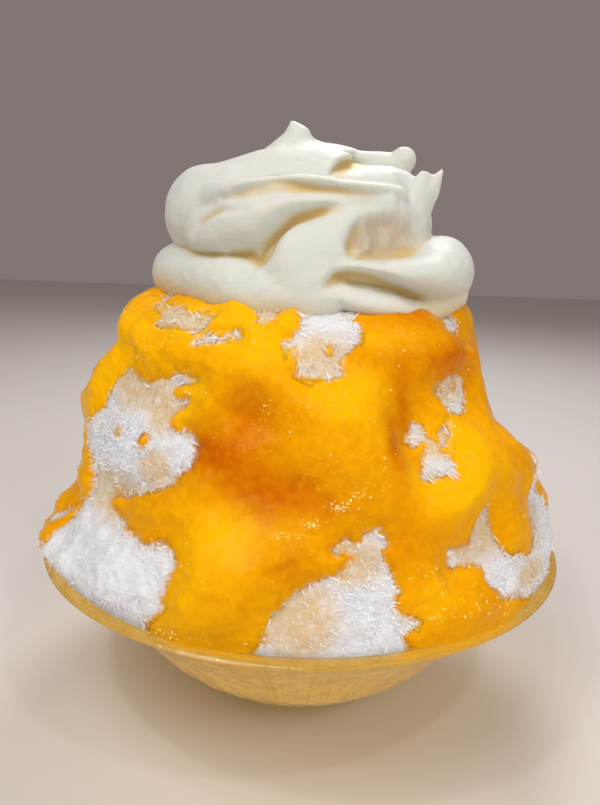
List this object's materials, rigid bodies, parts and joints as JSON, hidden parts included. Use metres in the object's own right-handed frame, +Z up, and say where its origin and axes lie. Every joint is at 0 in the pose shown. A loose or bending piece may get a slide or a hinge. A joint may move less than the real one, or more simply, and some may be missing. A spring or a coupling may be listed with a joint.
{
  "type": "shaved ice dessert in a glass bowl",
  "caption": "Tall heap of feathery shaved ice in a flared clear glass bowl, coated with thick mango sauce and topped with folded whipped cream.",
  "frame": {"origin": "middle of the flat foot of the bowl, on the surface that it stands on", "axes": "+Z up along the axis of the bowl, -Y towards the front of the dessert, +X to the right as seen from the front"},
  "size_m": [0.1498, 0.15, 0.1622],
  "materials": {
    "glass": "clear glass with a hammered, ribbed wall and a plain polished rim",
    "ice": "white, feathery and slightly translucent, with bright crystal edges",
    "sauce": "thick glossy fruit sauce with fine pulp, fibres and tiny bubbles",
    "cream": "smooth, satin whipped cream"
  },
  "bodies": {
    "root": {"glass_bowl": "glass", "shaved_ice": "ice", "mango_sauce": "sauce", "whipped_cream": "cream"}
  },
  "joints": []
}
